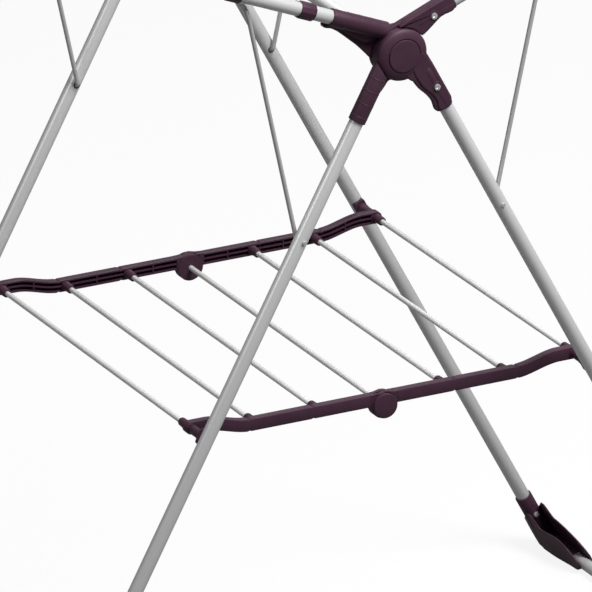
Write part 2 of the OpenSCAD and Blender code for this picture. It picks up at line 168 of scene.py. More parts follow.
def add_stage():
    """A pale floor that the camera sees as white, with only the airer's soft shadow on it."""
    size = 12.0
    mesh = bpy.data.meshes.new("floor")
    corners = [(-size, -size, 0.0), (size, -size, 0.0), (size, size, 0.0), (-size, size, 0.0)]
    mesh.from_pydata(corners, [], [(0, 1, 2, 3)])
    floor = bpy.data.objects.new("floor", mesh)
    scene.collection.objects.link(floor)
    material, tree, shader, place = new_material("floor_paper", Roughness=0.9)
    white = node(tree, "ShaderNodeEmission", {}, {"Color": (1.0, 1.0, 1.0, 1.0), "Strength": 1.0})
    seen, mirrored = light_path(tree)
    paper = node(tree, "ShaderNodeMix", {"data_type": "RGBA"}, {
        0: seen, 6: (0.16, 0.16, 0.16, 1.0), 7: (0.95, 0.95, 0.95, 1.0)}, 2)
    tree.links.new(paper.socket, shader.inputs["Base Color"])
    share = seen.maths("MAXIMUM", seen * 0.88, mirrored)
    mixed = node(tree, "ShaderNodeMixShader", {}, [share, Wire(tree, shader.outputs[0]), white])
    tree.links.new(mixed.socket, tree.nodes["Material Output"].inputs["Surface"])
    mesh.materials.append(material)
    world = bpy.data.worlds.new("studio")
    world.use_nodes = True
    tree = world.node_tree
    seen, mirrored = light_path(tree)
    plain = node(tree, "ShaderNodeBackground", {}, {"Color": (1.0, 1.0, 1.0, 1.0), "Strength": 0.10})
    bright = node(tree, "ShaderNodeBackground", {}, {"Color": (1.0, 1.0, 1.0, 1.0), "Strength": 1.0})
    both = node(tree, "ShaderNodeMixShader", {}, [seen.maths("MAXIMUM", seen, mirrored), plain, bright])
    tree.links.new(both.socket, tree.nodes["World Output"].inputs["Surface"])
    scene.world = world


add_stage()

# ---- Silver tubes: four legs, two floor bars, two bent wing frames ----
# Round steel tube, 16 mm on the frame and 14 mm on the floor, powder coated
# silver. The legs and bars are straight; each wing is one tube bent twice.

MM = 0.001
LEG_ANGLE = np.radians(28.5)
WING_ANGLE = np.radians(22.0)
HUB_Z = next(j for j in frame["joints"] if j["name"] == "leg_fold")["pos_m"][2] / MM
LEG_OFF = 15.0
WING_OFF = 19.5
WING_INSET = 8.0
LEG_Y = (abs(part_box("right_leg_near")[0][1]) + abs(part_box("right_leg_near")[1][1])) / 2 / MM
TUBE_R = 8.0


def on_leg(points, left=False, far=False):
    """Leg coordinates (n across the leg, u outwards from its plane, s down it) turned into X, Y, Z."""
    n, u, s = np.moveaxis(points, -1, 0)
    x = n * np.cos(LEG_ANGLE) + s * np.sin(LEG_ANGLE)
    z = HUB_Z + n * np.sin(LEG_ANGLE) - s * np.cos(LEG_ANGLE)
    return np.stack([-x if left else x, LEG_Y + u if far else -LEG_Y - u, z], -1)


def on_wing(points, left=False, far=False):
    """Wing coordinates (s along the wing, u outwards, h above the axle's line) turned into X, Y, Z."""
    s, u, h = np.moveaxis(points, -1, 0)
    x = s * np.cos(WING_ANGLE) - h * np.sin(WING_ANGLE)
    z = HUB_Z + s * np.sin(WING_ANGLE) + h * np.cos(WING_ANGLE)
    return np.stack([-x if left else x, LEG_Y + u if far else -LEG_Y - u, z], -1)


def closed_grid(points):
    """Rings of points joined by quads, each ring to the next, with the first and the last ring filled."""
    rings, sides = points.shape[:2]
    ring, side = np.meshgrid(np.arange(rings - 1), np.arange(sides), indexing="ij")
    after = (side + 1) % sides
    low, high = ring * sides, (ring + 1) * sides
    quads = [low + side, low + after, high + after, high + side]
    ends = [np.arange(sides)[::-1], np.arange(sides) + (rings - 1) * sides]
    return points.reshape(-1, 3), np.stack(quads, -1).reshape(-1, 4), ends


def piped(path, radius, normal, edge=0.6, sides=40):
    """A round bar along a path that lies in one plane. The ring at distance d is
    path(d) + r(d) * (cos q * side + sin q * normal), and r(d) rounds both ends off by edge."""
    path = np.asarray(path, float)
    normal = np.asarray(normal, float)
    run = np.concatenate([[0.0], np.cumsum(np.linalg.norm(np.diff(path, axis=0), axis=1))])
    lead = edge * np.array([0.0, 0.13, 0.5, 1.0])
    d = np.concatenate([lead, run[1:-1], run[-1] - lead[::-1]])
    line = np.stack([np.interp(d, run, path[:, axis]) for axis in range(3)], 1)
    ahead = np.gradient(line, d, axis=0)
    ahead /= np.linalg.norm(ahead, axis=1, keepdims=True)
    side = np.cross(normal, ahead)
    from_end = np.minimum(np.minimum(d, run[-1] - d), edge)
    r = radius - edge + np.sqrt(np.maximum(edge**2 - (edge - from_end) ** 2, 0.0))
    q = np.linspace(0.0, 2 * np.pi, sides, endpoint=False)
    ring = side[:, None] * np.cos(q)[:, None] + normal * np.sin(q)[:, None]
    return closed_grid(line[:, None] + r[:, None, None] * ring)


def moved(shell, place, **which):
    """The same shell with its points sent through a placing function."""
    points, quads, ends = shell
    return place(points, **which), quads, ends


def shifted(shell, by):
    """The same shell with its points moved by a vector."""
    points, quads, ends = shell
    return points + by, quads, ends


def put_piece(name, shells, body, finish, replaced, sharp=38.0):
    """Closed shells in millimetres become one object in metres: seams and poles are merged, faces
    turned outwards and shaded smooth up to the sharp angle. It rides on body and stands for replaced."""
    starts = np.cumsum([0] + [len(points) for points, quads, ends in shells[:-1]])
    points = np.concatenate([points for points, quads, ends in shells]) * MM
    faces = [
        face
        for (_, quads, ends), start in zip(shells, starts)
        for face in (quads + start).tolist() + [(end + start).tolist() for end in ends]
    ]
    mesh = bpy.data.meshes.new(name)
    mesh.from_pydata(points.tolist(), [], faces)
    solid = bmesh.new()
    solid.from_mesh(mesh)
    bmesh.ops.remove_doubles(solid, verts=solid.verts, dist=1e-6)
    bmesh.ops.dissolve_degenerate(solid, edges=solid.edges, dist=1e-7)
    bmesh.ops.recalc_face_normals(solid, faces=solid.faces)
    solid.to_mesh(mesh)
    solid.free()
    mesh.polygons.foreach_set("use_smooth", np.ones(len(mesh.polygons), bool))
    mesh.set_sharp_from_angle(angle=np.radians(sharp))
    mesh.materials.append(finish)
    piece = bpy.data.objects.new(name, mesh)
    scene.collection.objects.link(piece)
    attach(piece, body)
    if replaced:
        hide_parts(*replaced)
    return piece


def silver_coat(name, colour, peel):
    """Silver powder coat: metal flake under a satin skin, with cloudy patches and orange peel."""
    material, tree, shader, place = new_material(name, Metallic=0.25, Coat_Weight=0.1, Coat_Roughness=0.3)
    cloud = node(tree, "ShaderNodeTexNoise", {}, {"Vector": place, "Scale": 9.0, "Detail": 3.0})
    flake = node(tree, "ShaderNodeTexNoise", {}, {"Vector": place, "Scale": 1400.0, "Detail": 1.0})
    shade = (cloud * 0.5 + flake * 0.5).clamped()
    light = tuple(c * 1.05 for c in colour) + (1.0,)
    dark = tuple(c * 0.95 for c in colour) + (1.0,)
    paint = node(tree, "ShaderNodeMix", {"data_type": "RGBA"}, {0: shade, 6: dark, 7: light}, 2)
    tree.links.new(paint.socket, shader.inputs["Base Color"])
    tree.links.new((cloud * 0.05 + flake * 0.04 + 0.30).socket, shader.inputs["Roughness"])
    skin = node(tree, "ShaderNodeTexNoise", {}, {"Vector": place, "Scale": peel, "Detail": 2.0})
    bump = node(tree, "ShaderNodeBump", {}, {"Strength": 0.02, "Distance": 0.0002, "Height": skin})
    tree.links.new(bump.socket, shader.inputs["Normal"])
    return material


SILVER = silver_coat("silver_powder_coat", (0.65, 0.65, 0.655), 300.0)
SOCKET_START = 37.0
TUBE_END = 20.0
BAR_R = 7.0
BAR_Z = 10.0
LEG_LEN = (HUB_Z + LEG_OFF * np.sin(LEG_ANGLE) - BAR_Z) / np.cos(LEG_ANGLE)
FOOT_X = LEG_OFF * np.cos(LEG_ANGLE) + LEG_LEN * np.sin(LEG_ANGLE)
ACROSS = (0.0, 1.0, 0.0)
SIDES = [(left, far) for left in (False, True) for far in (False, True)]


def name_of(left, far, what):
    """left_what_near and so on; a name with no near or far is left_what."""
    return ("left_" if left else "right_") + what + ("" if far is None else "_far" if far else "_near")


for left, far in SIDES:
    line = on_leg(np.array([[LEG_OFF, 0.0, SOCKET_START], [LEG_OFF, 0.0, LEG_LEN - TUBE_END]]), left, far)
    node_name = name_of(left, far, "leg")
    tube = piped(line, TUBE_R, ACROSS)
    put_piece(node_name + "_tube", [tube], name_of(left, None, "legs"), SILVER, [node_name])
for left in (False, True):
    bar_end = abs(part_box(name_of(left, None, "floor_bar"))[0][1]) / MM
    x = -FOOT_X if left else FOOT_X
    bar = piped([[x, -bar_end, BAR_Z], [x, bar_end, BAR_Z]], BAR_R, (0, 0, 1))
    put_piece(
        name_of(left, None, "floor_tube"), [bar], name_of(left, None, "legs"), SILVER,
        [name_of(left, None, "floor_bar")],
    )

WING_LEN = 800.0
CORNER_R = 45.0
WING_Y = LEG_Y - WING_INSET


def bent_wing_line():
    """Half of the wing's tube, from its socket to the middle of the end bar: straight, a quarter
    circle of CORNER_R, and straight again. The far half is the same, mirrored."""
    q = np.linspace(0.0, np.pi / 2, 17)
    s = np.concatenate([[SOCKET_START], WING_LEN - CORNER_R + CORNER_R * np.sin(q), [WING_LEN]])
    y = np.concatenate([[WING_Y], WING_Y - CORNER_R + CORNER_R * np.cos(q), [0.0]])
    return np.stack([s, y - LEG_Y, np.full_like(s, WING_OFF)], -1)


for left in (False, True):
    near = on_wing(bent_wing_line(), left, False)
    far = on_wing(bent_wing_line()[:-1], left, True)[::-1]
    lean = WING_ANGLE if left else -WING_ANGLE
    tube = piped(np.concatenate([near, far]), TUBE_R, (np.sin(lean), 0.0, np.cos(lean)))
    put_piece(
        name_of(left, None, "wing_tube"), [tube], name_of(left, None, "wing"), SILVER,
        [name_of(left, None, "wing_frame")],
    )

# ---- White drying rods ----
# Steel rods, 6 mm thick, dipped in white. Seven cross each wing, and seven
# cross the shelf, where the middle one is the hinge and the end ones turn.

ROD_R = 3.0
ROD_END_GAP = 1.0
WING_RODS = 7
FIRST_ROD = 129.0
WING_PITCH = 95.0
SHELF_PITCH = 78.5
ROD_SIDES = 24


def white_coat():
    """A dipped white coat: faint runs along the rod, and a soft orange peel."""
    material, tree, shader, place = new_material("white_rod_coat", Coat_Weight=0.3, Coat_Roughness=0.2)
    cloud = node(tree, "ShaderNodeTexNoise", {}, {"Vector": place, "Scale": 22.0, "Detail": 3.0})
    warm = (0.74, 0.74, 0.73, 1.0)
    cool = (0.78, 0.785, 0.79, 1.0)
    paint = node(tree, "ShaderNodeMix", {"data_type": "RGBA"}, {0: cloud, 6: warm, 7: cool}, 2)
    tree.links.new(paint.socket, shader.inputs["Base Color"])
    tree.links.new((cloud * 0.14 + 0.26).socket, shader.inputs["Roughness"])
    skin = node(tree, "ShaderNodeTexNoise", {}, {"Vector": place, "Scale": 500.0, "Detail": 2.0})
    bump = node(tree, "ShaderNodeBump", {}, {"Strength": 0.03, "Distance": 0.0002, "Height": skin})
    tree.links.new(bump.socket, shader.inputs["Normal"])
    return material


WHITE = white_coat()


def cross_rod(x, z, y0, y1, edge=0.5):
    """A rod parallel to the axle at x, z, from y0 to y1."""
    return piped([[x, y0, z], [x, y1, z]], ROD_R, (0.0, 0.0, 1.0), edge, ROD_SIDES)


for left in (False, True):
    rods = []
    reach = WING_Y - TUBE_R - ROD_END_GAP
    for i in range(WING_RODS):
        x, _, z = on_wing(np.array([FIRST_ROD + i * WING_PITCH, 0.0, WING_OFF]), left)
        rods.append(cross_rod(x, z, -reach, reach))
    node_name = name_of(left, None, "wing_rods")
    put_piece(node_name + "_white", rods, name_of(left, None, "wing"), WHITE, [node_name])


def middle(node_name, axis):
    """The middle of a node's box along one axis, in millimetres."""
    low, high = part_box(node_name)
    return (low[axis] + high[axis]) / 2 / MM


SHELF_END_X = abs(middle("shelf_pivot_rod_left", 0))
SHELF_END_Z = middle("shelf_pivot_rod_left", 2)
HINGE_Z = middle("shelf_hinge_rod", 2)
RAIL_H = 14.0
ROD_Z = HINGE_Z + RAIL_H / 2
SEATED_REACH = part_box("shelf_rods_left")[1][1] / MM
for node_name, body, xs in (
    ("shelf_rods_left", "shelf_left", (-SHELF_PITCH, -2 * SHELF_PITCH)),
    ("shelf_pivot_rod_left", "shelf_left", (-SHELF_END_X,)),
    ("shelf_rods_right", "shelf_right", (SHELF_PITCH, 2 * SHELF_PITCH, SHELF_END_X)),
    ("shelf_hinge_rod", "shelf_left", (0.0,)),
):
    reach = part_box(node_name)[1][1] / MM
    rods = []
    for x in xs:
        z = SHELF_END_Z if abs(x) == SHELF_END_X else HINGE_Z if x == 0 else ROD_Z
        length = SEATED_REACH if z == ROD_Z else reach
        rods.append(cross_rod(x, z, -length, length))
    put_piece(node_name + "_white", rods, body, WHITE, [node_name])

# ---- Aubergine plastic: the hub's knuckles, boss, caps and arms ----
# Injection-moulded polypropylene. The legs' and wings' arms end in round
# knuckles stacked on the axle; two arms are flat and screwed, two are sleeves.

KNUCKLE_R = 29.0
KNUCKLE_T = 7.0
PLAY = 0.3
LAYER_FRONT = 1.3
LAYER_MID = LAYER_FRONT - KNUCKLE_T - PLAY
LAYER_WING = LAYER_MID - KNUCKLE_T - PLAY
LAYER_BACK = LAYER_WING - KNUCKLE_T - PLAY
SOCKET_R = 9.8


def aubergine():
    """Moulded polypropylene: a dark plum with faint flow marks, and a fine spark-eroded grain."""
    material, tree, shader, place = new_material("aubergine_plastic", Specular_IOR_Level=0.22)
    flow = node(tree, "ShaderNodeTexNoise", {}, {
        "Vector": place, "Scale": 34.0, "Detail": 4.0, "Distortion": 0.6})
    grain = node(tree, "ShaderNodeTexNoise", {}, {"Vector": place, "Scale": 1500.0, "Detail": 2.0})
    deep = (0.048, 0.019, 0.035, 1.0)
    pale = (0.068, 0.030, 0.052, 1.0)
    share = (flow * 1.5 - 0.35 + grain * 0.25).clamped()
    dye = node(tree, "ShaderNodeMix", {"data_type": "RGBA"}, {0: share, 6: deep, 7: pale}, 2)
    tree.links.new(dye.socket, shader.inputs["Base Color"])
    tree.links.new((flow * 0.10 + grain * 0.10 + 0.36).socket, shader.inputs["Roughness"])
    bump = node(tree, "ShaderNodeBump", {}, {"Strength": 0.22, "Distance": 0.00012, "Height": grain})
    tree.links.new(bump.socket, shader.inputs["Normal"])
    return material


PLUM = aubergine()


def put_moulding(node_name, shells, body):
    """A plum moulding on body that stands for one node."""
    put_piece(node_name + "_moulding", shells, body, PLUM, [node_name])


def ease(t):
    """The smooth step t*t*(3-2t) between 0 and 1."""
    t = np.clip(t, 0.0, 1.0)
    return t * t * (3 - 2 * t)


def turned(profile, centre=(0.0, 0.0), facets=0, sides=64):
    """A turned shape about the u axis: profile rows are (u, radius), centre is where the axis stands.
    A point is (centre + radius * (cos q, sin q)) at depth u; facets flatten the round to a polygon."""
    profile = np.asarray(profile, float)
    q = np.linspace(0.0, 2 * np.pi, sides, endpoint=False)
    r = profile[:, 1:2] * np.ones(sides)
    if facets:
        turn = np.mod(q, 2 * np.pi / facets) - np.pi / facets
        r = r * np.cos(np.pi / facets) / np.cos(turn) * (1 + 0.5 * (1 - np.cos(np.pi / facets)))
    u = profile[:, 0:1] * np.ones(sides)
    return closed_grid(np.stack([centre[0] + r * np.cos(q), u, centre[1] + r * np.sin(q)], -1))


def rounded_rim(u0, u1, radius, edge):
    """Profile rows of a disc from u0 to u1 whose two rims are quarter circles of radius edge."""
    q = np.linspace(0.0, np.pi / 2, 5)
    rim = radius - edge + edge * np.sin(q)
    rise = edge * (1 - np.cos(q))
    low = np.stack([u0 + rise, rim], 1)
    high = np.stack([u1 - rise[::-1], rim[::-1]], 1)
    return np.concatenate([[[u0, 0.0], [u0, rim[0] - 0.4]], low, high, [[u1, rim[0] - 0.4], [u1, 0.0]]])


def eased(corners, radius=3.0):
    """A closed outline through corners, each one cut back by radius on both sides and replaced by
    the parabola (1-t)^2 * start + 2t(1-t) * corner + t^2 * end."""
    corners = np.asarray(corners, float)
    radius = np.broadcast_to(radius, len(corners))
    ends = []
    for neighbour in (np.roll(corners, 1, 0), np.roll(corners, -1, 0)):
        gap = np.linalg.norm(neighbour - corners, axis=1)
        ends.append(corners + (neighbour - corners) * (np.minimum(radius, 0.47 * gap) / gap)[:, None])
    t = np.linspace(0.0, 1.0, 7)[None, :, None]
    start, end = ends[0][:, None], ends[1][:, None]
    return ((1 - t) ** 2 * start + 2 * t * (1 - t) * corners[:, None] + t**2 * end).reshape(-1, 2)


def plate(outline, low, high, edge=1.2):
    """A moulded plate from depth low to high. Its outline is drawn in by edge * (1 - sin q) while the
    depth rises by edge * (1 - cos q), which rounds both rims; low and high may vary along the outline."""
    ahead = np.roll(outline, -1, 0) - np.roll(outline, 1, 0)
    area = np.sum(outline[:, 0] * np.roll(outline[:, 1], -1) - np.roll(outline[:, 0], -1) * outline[:, 1])
    inward = np.stack([-ahead[:, 1], ahead[:, 0]], 1) * np.sign(area)
    inward /= np.linalg.norm(inward, axis=1, keepdims=True)
    q = np.linspace(0.0, np.pi / 2, 5)
    drawn = np.concatenate([[edge + 0.5], edge * (1 - np.sin(q))])
    rise = np.concatenate([[0.0], edge * (1 - np.cos(q))])
    drawn = np.concatenate([drawn, drawn[::-1]])[:, None]
    low = np.broadcast_to(low, len(outline))
    high = np.broadcast_to(high, len(outline))
    depth = np.concatenate([low + rise[:, None], high - rise[::-1, None]])
    flat = outline[None] + inward[None] * drawn[..., None]
    return closed_grid(np.stack([flat[..., 0], depth, flat[..., 1]], -1))


def sleeve(centre, radius, start, finish, tilt=0.0, edge=0.8, sides=48, clear=0.0):
    """A round sleeve along the third axis about centre = (across, depth). Its near end leans: it starts
    at start + tilt * across, outside the circle clear about the axle, and both rims are rounded by edge."""
    q = np.linspace(0.0, 2 * np.pi, sides, endpoint=False)
    turn = np.linspace(0.0, np.pi / 2, 4)
    drawn = edge * (1 - np.sin(turn))
    rise = edge * (1 - np.cos(turn))
    r = radius - np.concatenate([drawn, drawn[::-1]])[:, None]
    across = r * np.cos(q)
    begin = start + tilt * across
    if clear:
        begin = np.maximum(begin, np.sqrt(np.maximum(clear**2 - (centre[0] + across) ** 2, 0.0)))
    end = np.broadcast_to(finish, (4, sides))
    s = np.concatenate([begin[:4] + rise[:, None], end - rise[::-1, None]])
    return closed_grid(np.stack([centre[0] + across, centre[1] + r * np.sin(q), s], -1))


def across_wing(shell):
    """Swaps leg order (across, depth, along) for wing order (along, depth, above)."""
    points, quads, ends = shell
    return points[:, [2, 1, 0]], quads, ends


# The flat leg arm: a flange with a raised face on it, a lip round its screw, and the hub's domed boss
LEG_ARM = 86.0
LEG_SCREW_S = 56.0
FACE_U = 9.0
FACE_AT_BOSS = 8.2
FLAT_SLEEVE_R = 9.2
leg_flange = eased([
    (23.5, 4), (24.6, 30), (24.6, 80), (19, 86), (8.5, 86), (2.6, 83.6), (1.0, 79), (3.2, 69), (1.6, 59),
    (-2.8, 47), (-4.2, 38), (-4.4, 33.6), (-6.8, 31.4), (-9, 24), (-10, 0),
], 4.0)
leg_face = eased([
    (21.0, 10), (23.2, 26), (23.6, 80), (18.6, 85.2), (9, 85.2), (4.8, 81), (5.2, 77), (7.6, 72), (6.3, 60),
    (0.9, 46.6), (-0.3, 33), (1, 6),
], 4.0)
front_dome = [
    (LAYER_FRONT, 0.0), (LAYER_FRONT, 28.4), (LAYER_FRONT + 0.5, 29.3), (3.2, 29.6), (4.4, 29.1),
    (5.6, 27.8), (6.8, 25.6), (7.7, 23.2), (8.25, 21.2), (8.5, 20.3), (8.45, 19.7), (8.0, 19.4),
    (7.4, 19.3), (7.3, 0.0),
]


def face_height(outline):
    """The raised face sinks gently into the boss, from FACE_U 42 mm down the arm to FACE_AT_BOSS at 20."""
    return FACE_AT_BOSS + (FACE_U - FACE_AT_BOSS) * ease((outline[:, 1] - 20.0) / 22.0)


def moulded_ring(section, centre):
    """A ring about the u axis: the closed section's rows are (u, radius), turned about centre."""
    u, r = np.array(section + section[:1], float).T[..., None]
    q = np.linspace(0.0, 2 * np.pi, 40, endpoint=False)
    ring = np.stack([centre[0] + r * np.cos(q), u * np.ones(40), centre[1] + r * np.sin(q)], -1)
    points, quads, _ = closed_grid(ring)
    return points, quads, []


def screw_lip(u, centre):
    """A low moulded ring that stands out of a face at depth u, round a screw's head."""
    lip = [(-1.0, 4.9), (0.0, 4.9), (0.3, 5.15), (0.35, 5.5), (0.2, 5.9), (-0.1, 6.2), (-1.0, 6.2)]
    return moulded_ring([(u + rise, radius) for rise, radius in lip], centre)


RING_RISE = 0.22
RING_W = 1.5


def sleeve_rings(centre, starts):
    """Thin raised rings across a round sleeve; each one begins at one of starts."""
    return [sleeve(centre, SOCKET_R + RING_RISE, s, s + RING_W, edge=0.6) for s in starts]


flat_leg_arm = [
    turned(front_dome, sides=96),
    plate(leg_flange, LAYER_FRONT, LAYER_FRONT + KNUCKLE_T - 0.8, 1.6),
    plate(leg_face, LAYER_FRONT, face_height(leg_face), 1.5),
    sleeve((LEG_OFF, 0.0), FLAT_SLEEVE_R, 31.0, LEG_ARM - 0.4),
    screw_lip(FACE_U, (LEG_OFF, LEG_SCREW_S)),
]
# The round leg sleeve, with thin rings across it and a web down to its knuckle. The sleeve keeps clear
# of the knuckles that turn beside its own.
KNUCKLE_CLEAR = 30.2
leg_web = eased([
    (16, 14), (22, 18), (20, 60), (12, 72), (6, 62), (4.2, 51.5), (2.2, 44), (0.9, 37), (0.6, 32),
    (-4.8, 28.5), (-16, 24), (-20, 0), (0, -10),
], 3.0)
knuckle = rounded_rim(0.0, KNUCKLE_T, KNUCKLE_R, 0.8)
round_leg_arm = [
    turned(knuckle + [LAYER_MID, 0.0], sides=96),
    plate(leg_web, LAYER_MID, LAYER_MID + KNUCKLE_T, 1.2),
    sleeve((LEG_OFF, 0.0), SOCKET_R, 21.5, LEG_ARM, tilt=-0.55, clear=KNUCKLE_CLEAR),
] + sleeve_rings((LEG_OFF, 0.0), (34.0, 49.0, 64.0, 79.0))

# The flat wing arm: a flange, then a step and a raised face that end in an arc round the rim of the
# boss, its points set to a tenth of a millimetre
WING_ARM = 80.0
WING_SLEEVE = 97.0
WING_SCREW_S = 51.0
WING_FACE_U = FACE_U - WING_INSET
wing_flange = eased([
    (-4, 30.5), (72, 31.2), (78.5, 27.5), (79.8, 20), (79.4, 14.6), (75.5, 10.6), (69, 10.6), (61.4, 12.1),
    (54.7, 10), (47.4, 7.8), (39.8, 5), (28.8, 3.5), (0, 3.2),
], 3.5)
BOSS_RIM = 30.24
rim_turn = np.radians([15.0, 30.0, 45.0, 60.0])
beside_boss = np.round(BOSS_RIM * np.stack([np.cos(rim_turn), np.sin(rim_turn)], 1), 1).tolist()
beside_boss.append((9.5, 28.9))
wing_step = eased([
    (20, 31.1), (72, 31.1), (78.2, 27.3), (79.5, 20), (78.6, 15.2), (74.6, 11.8), (68.6, 12.3), (60.8, 14),
    (53.6, 11.8), (45.8, 9.2), (38, 6.6), (31, 5),
] + beside_boss, 3.0)
wing_face = eased([
    (20, 31.05), (71.5, 31.05), (77.6, 27), (78.9, 20), (77.6, 15.8), (73, 13.4), (68, 14.2), (60, 16),
    (52.6, 13.6), (44, 10.6), (36, 8.4), (30.6, 7.2),
] + beside_boss, 3.0)
flat_wing_arm = [
    turned(knuckle + [LAYER_WING, 0.0], sides=96),
    plate(wing_flange, LAYER_WING, LAYER_WING + KNUCKLE_T, 1.4),
    plate(wing_step, LAYER_WING + 2, WING_FACE_U - 1.0, 0.8),
    plate(wing_face, LAYER_WING + 2, WING_FACE_U, 0.9),
    across_wing(sleeve((WING_OFF, -WING_INSET), FLAT_SLEEVE_R, 31.0, WING_ARM - 0.3)),
    screw_lip(WING_FACE_U, (WING_SCREW_S, WING_OFF)),
]
# The round wing sleeve, with thin rings across it and a web of two thicknesses down to its knuckle
wing_web = eased([
    (0, 21), (26, 26.5), (80, 22), (94, 16), (98, 11), (98.4, 7.5), (96.2, 5.2), (92.5, 5.0), (87, 6.2),
    (78, 4.8), (65, 0.8), (56, -2.4), (48, -5), (42, -7.5), (33, -11.5), (24, -16), (0, -20),
], 3.0)
thick_web = eased([
    (28, 24), (84, 22), (94, 11), (95, 8), (91, 7.2), (84, 9), (66, 6), (50, 2.5), (42, 1), (34, 5),
], 3.0)
round_wing_arm = [
    turned(knuckle + [LAYER_BACK, 0.0], sides=96),
    plate(wing_web, LAYER_BACK, LAYER_BACK + KNUCKLE_T, 1.2),
    plate(thick_web, LAYER_BACK, -WING_INSET, 1.5),
    across_wing(sleeve((WING_OFF, -WING_INSET), SOCKET_R, 26.0, WING_SLEEVE, tilt=-0.25)),
]
round_wing_arm += [
    across_wing(ring) for ring in sleeve_rings((WING_OFF, -WING_INSET), (45.0, 60.0, 75.0, 90.0))
]
for left in (False, True):
    for kind, shells, place, far in (
        ("leg", flat_leg_arm, on_leg, left), ("leg", round_leg_arm, on_leg, not left),
        ("wing", flat_wing_arm, on_wing, left), ("wing", round_wing_arm, on_wing, not left),
    ):
        placed = [moved(shell, place, left=left, far=far) for shell in shells]
        body = name_of(left, None, "legs" if kind == "leg" else "wing")
        put_moulding(name_of(left, far, kind + "_arm"), placed, body)

# The caps on the axle's ends: a shallow dish with a rounded rim
CAP_R = 18.7
CAP_TOP = 9.5
CAP_BACK = 7.4
cap_face = [(CAP_BACK, 0.0), (CAP_BACK, CAP_R - 0.6), (CAP_BACK + 0.5, CAP_R)]
cap_face += [(CAP_TOP - 0.9, CAP_R), (CAP_TOP - 0.35, CAP_R - 0.3), (CAP_TOP - 0.05, CAP_R - 1.0)]
cap_face += [(CAP_TOP, CAP_R - 1.8), (CAP_TOP - 0.1, CAP_R - 8.0), (CAP_TOP - 0.15, 0.0)]
for far in (False, True):
    cap = moved(turned(cap_face, sides=96), on_leg, left=far, far=far)
    put_moulding("hub_cap_far" if far else "hub_cap_near", [cap], "left_legs")

# ---- Pan-head screws ----
# Nickel-plated steel screws with a cross recess, one driven through each arm and
# each foot into the tube inside. Those of the feet are placed with the feet.

HEAD_R = 3.8
HEAD_SINK = 0.3


def nickel():
    """Bright nickel with fine turning marks and a little tarnish."""
    material, tree, shader, place = new_material("nickel_screw", Metallic=0.8)
    mark = node(tree, "ShaderNodeTexNoise", {}, {"Vector": place, "Scale": 900.0, "Detail": 3.0})
    bright = (0.92, 0.92, 0.91, 1.0)
    dull = (0.74, 0.74, 0.72, 1.0)
    plated = node(tree, "ShaderNodeMix", {"data_type": "RGBA"}, {0: mark, 6: dull, 7: bright}, 2)
    tree.links.new(plated.socket, shader.inputs["Base Color"])
    tree.links.new((mark * 0.2 + 0.12).socket, shader.inputs["Roughness"])
    return material


NICKEL = nickel()


def pan_head(u, centre, radius, rise=2.1):
    """A pan head on a face at depth u: rim, dome and a cross recess sunk as a four-lobed hollow,
    depth = 1.1 * (1 - r / reach(q))**0.6, where reach is long along the cross and short between."""
    q = np.linspace(0.0, 2 * np.pi, 48, endpoint=False)
    share = np.array([0.0, 0.12, 0.24, 0.36, 0.5, 0.62, 0.75, 0.87, 0.95, 1.0, 1.0])
    r = (share * radius)[::-1, None] * np.ones(48)
    lift = np.concatenate([[-0.6, 0.5], rise * np.sqrt(1 - (0.82 * share[::-1][2:]) ** 2)])[:, None]
    reach = radius * (0.22 + 0.33 * np.abs(np.cos(2 * q)) ** 8)
    sunk = 1.1 * np.clip(1 - r / reach, 0.0, 1.0) ** 0.6
    rings = np.stack([centre[0] + r * np.cos(q), u + lift - sunk, centre[1] + r * np.sin(q)], -1)
    return closed_grid(rings)


def facing_in(shell):
    """The same shell mirrored in depth, so that it faces the other side of the airer."""
    points, quads, ends = shell
    return points * [1, -1, 1], quads, ends


def put_screws(node_name, heads, body):
    """Nickel screw heads on body that stand for one node."""
    put_piece(node_name + "_nickel", heads, body, NICKEL, [node_name])


# One head stands on the outer face of the flat arm, the other on the inner side of the round sleeve
for left in (False, True):
    for kind, body, place, centre, face, sleeve_face in (
        ("leg", "legs", on_leg, (LEG_OFF, LEG_SCREW_S), FACE_U, SOCKET_R - HEAD_SINK),
        ("wing", "wing", on_wing, (WING_SCREW_S, WING_OFF), WING_FACE_U, SOCKET_R + WING_INSET - HEAD_SINK),
    ):
        outer_head = moved(pan_head(face, centre, HEAD_R), place, left=left, far=left)
        inner_head = facing_in(pan_head(sleeve_face, centre, HEAD_R))
        heads = [outer_head, moved(inner_head, place, left=left, far=not left)]
        put_screws(name_of(left, None, kind + "_screws"), heads, name_of(left, None, body))

# ---- Rod collars on the wings ----
# Short collars, moulded in the same plum plastic, wrap the wing's tube and hold each
# white rod in a nose. Their round is lightly faceted, and the nose tapers to its mouth.

COLLAR_R = 9.9
COLLAR_LEN = 19.0
COLLAR_NOSE = 16.0


def faceted_sleeve(length, radius, facets=10, sides=60):
    """A collar along x: its rims are rounded, and its round is flattened to soft facets by
    cos(pi / facets) / cos(turn within a facet)."""
    q = np.linspace(0.0, 2 * np.pi, sides, endpoint=False)
    turn = np.mod(q, 2 * np.pi / facets) - np.pi / facets
    bend = np.cos(np.pi / facets) / np.cos(turn)
    a = np.array([-0.5, -0.5, -0.485, -0.44, 0.44, 0.485, 0.5, 0.5]) * length
    r = np.array([0.85, 0.93, 0.97, 1.0, 1.0, 0.97, 0.93, 0.85])[:, None] * radius * bend
    return closed_grid(np.stack([a[:, None] * np.ones(sides), r * np.cos(q), r * np.sin(q)], -1))


